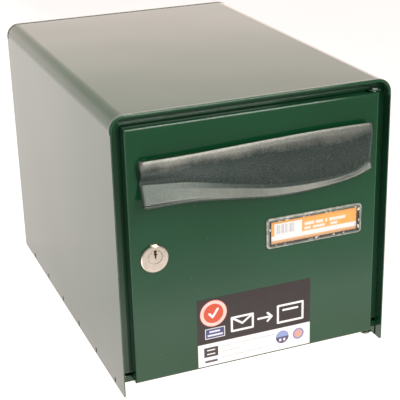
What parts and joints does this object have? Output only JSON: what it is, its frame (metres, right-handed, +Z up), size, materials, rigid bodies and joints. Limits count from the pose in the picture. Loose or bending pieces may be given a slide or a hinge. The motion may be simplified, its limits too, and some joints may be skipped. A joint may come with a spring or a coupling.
{
  "type": "post box",
  "caption": "Free-standing steel letter box with a lift-up posting flap, a name window, and a key-locked door at the front and at the rear.",
  "frame": {"origin": "bottom centre of the whole box, on the surface it stands on", "axes": "+X to the viewer's right when facing the front door, +Y from the front door to the rear door, +Z up"},
  "size_m": [0.29, 0.4278, 0.29],
  "materials": {
    "green_paint": "glossy",
    "zinc_steel": "satin",
    "spring_steel": "satin",
    "flap_finish": "satin, metallic grey",
    "clear_plastic": "clear, glossy",
    "card": "matt",
    "label_paper": "coated, semi-gloss",
    "lock_nickel": "polished nickel",
    "brass": "satin"
  },
  "bodies": {
    "case": {"shell": "green_paint", "floor_panel": "green_paint", "front_frame": "green_paint", "rear_frame": "green_paint", "front_upper_hinge_pin": "zinc_steel", "front_lower_hinge_pin": "zinc_steel", "rear_upper_hinge_pin": "zinc_steel", "rear_lower_hinge_pin": "zinc_steel"},
    "front_door": {"front_door_panel": "green_paint", "letter_guard": "green_paint", "flap_bracket_left": "zinc_steel", "flap_bracket_right": "zinc_steel", "flap_bracket_rivets": "zinc_steel", "flap_rod": "zinc_steel", "flap_spring": "spring_steel", "name_holder": "clear_plastic", "name_card": "card", "holder_push_nuts": "spring_steel", "front_label": "label_paper", "front_lock_body": "lock_nickel", "front_lock_clip": "spring_steel"},
    "flap": {"flap": "flap_finish"},
    "front_lock_turn": {"front_lock_plug": "lock_nickel", "front_lock_wafers": "brass", "front_lock_cam": "zinc_steel", "front_cam_screw": "zinc_steel"},
    "rear_door": {"rear_door_panel": "green_paint", "rear_lock_body": "lock_nickel", "rear_lock_clip": "spring_steel"},
    "rear_lock_turn": {"rear_lock_plug": "lock_nickel", "rear_lock_wafers": "brass", "rear_lock_cam": "zinc_steel", "rear_cam_screw": "zinc_steel"}
  },
  "joints": [
    {"name": "front_door_hinge", "type": "hinge", "parent": "case", "child": "front_door", "pos_m": [0.1285, -0.1939, 0.145], "axis": [0, 0, 1], "range_deg": [0, 95]},
    {"name": "flap_hinge", "type": "hinge", "parent": "front_door", "child": "flap", "pos_m": [0, -0.2039, 0.242], "axis": [-1, 0, 0], "range_deg": [0, 40], "stiffness_Nm_per_rad": 0.03, "springref_deg": -17.19},
    {"name": "front_lock_turn", "type": "hinge", "parent": "front_door", "child": "front_lock_turn", "pos_m": [-0.1074, -0.1939, 0.1476], "axis": [0, 1, 0], "range_deg": [0, 90]},
    {"name": "rear_door_hinge", "type": "hinge", "parent": "case", "child": "rear_door", "pos_m": [-0.1285, 0.2061, 0.145], "axis": [0, 0, 1], "range_deg": [0, 95]},
    {"name": "rear_lock_turn", "type": "hinge", "parent": "rear_door", "child": "rear_lock_turn", "pos_m": [0.1074, 0.2061, 0.1476], "axis": [0, -1, 0], "range_deg": [0, 90]}
  ]
}
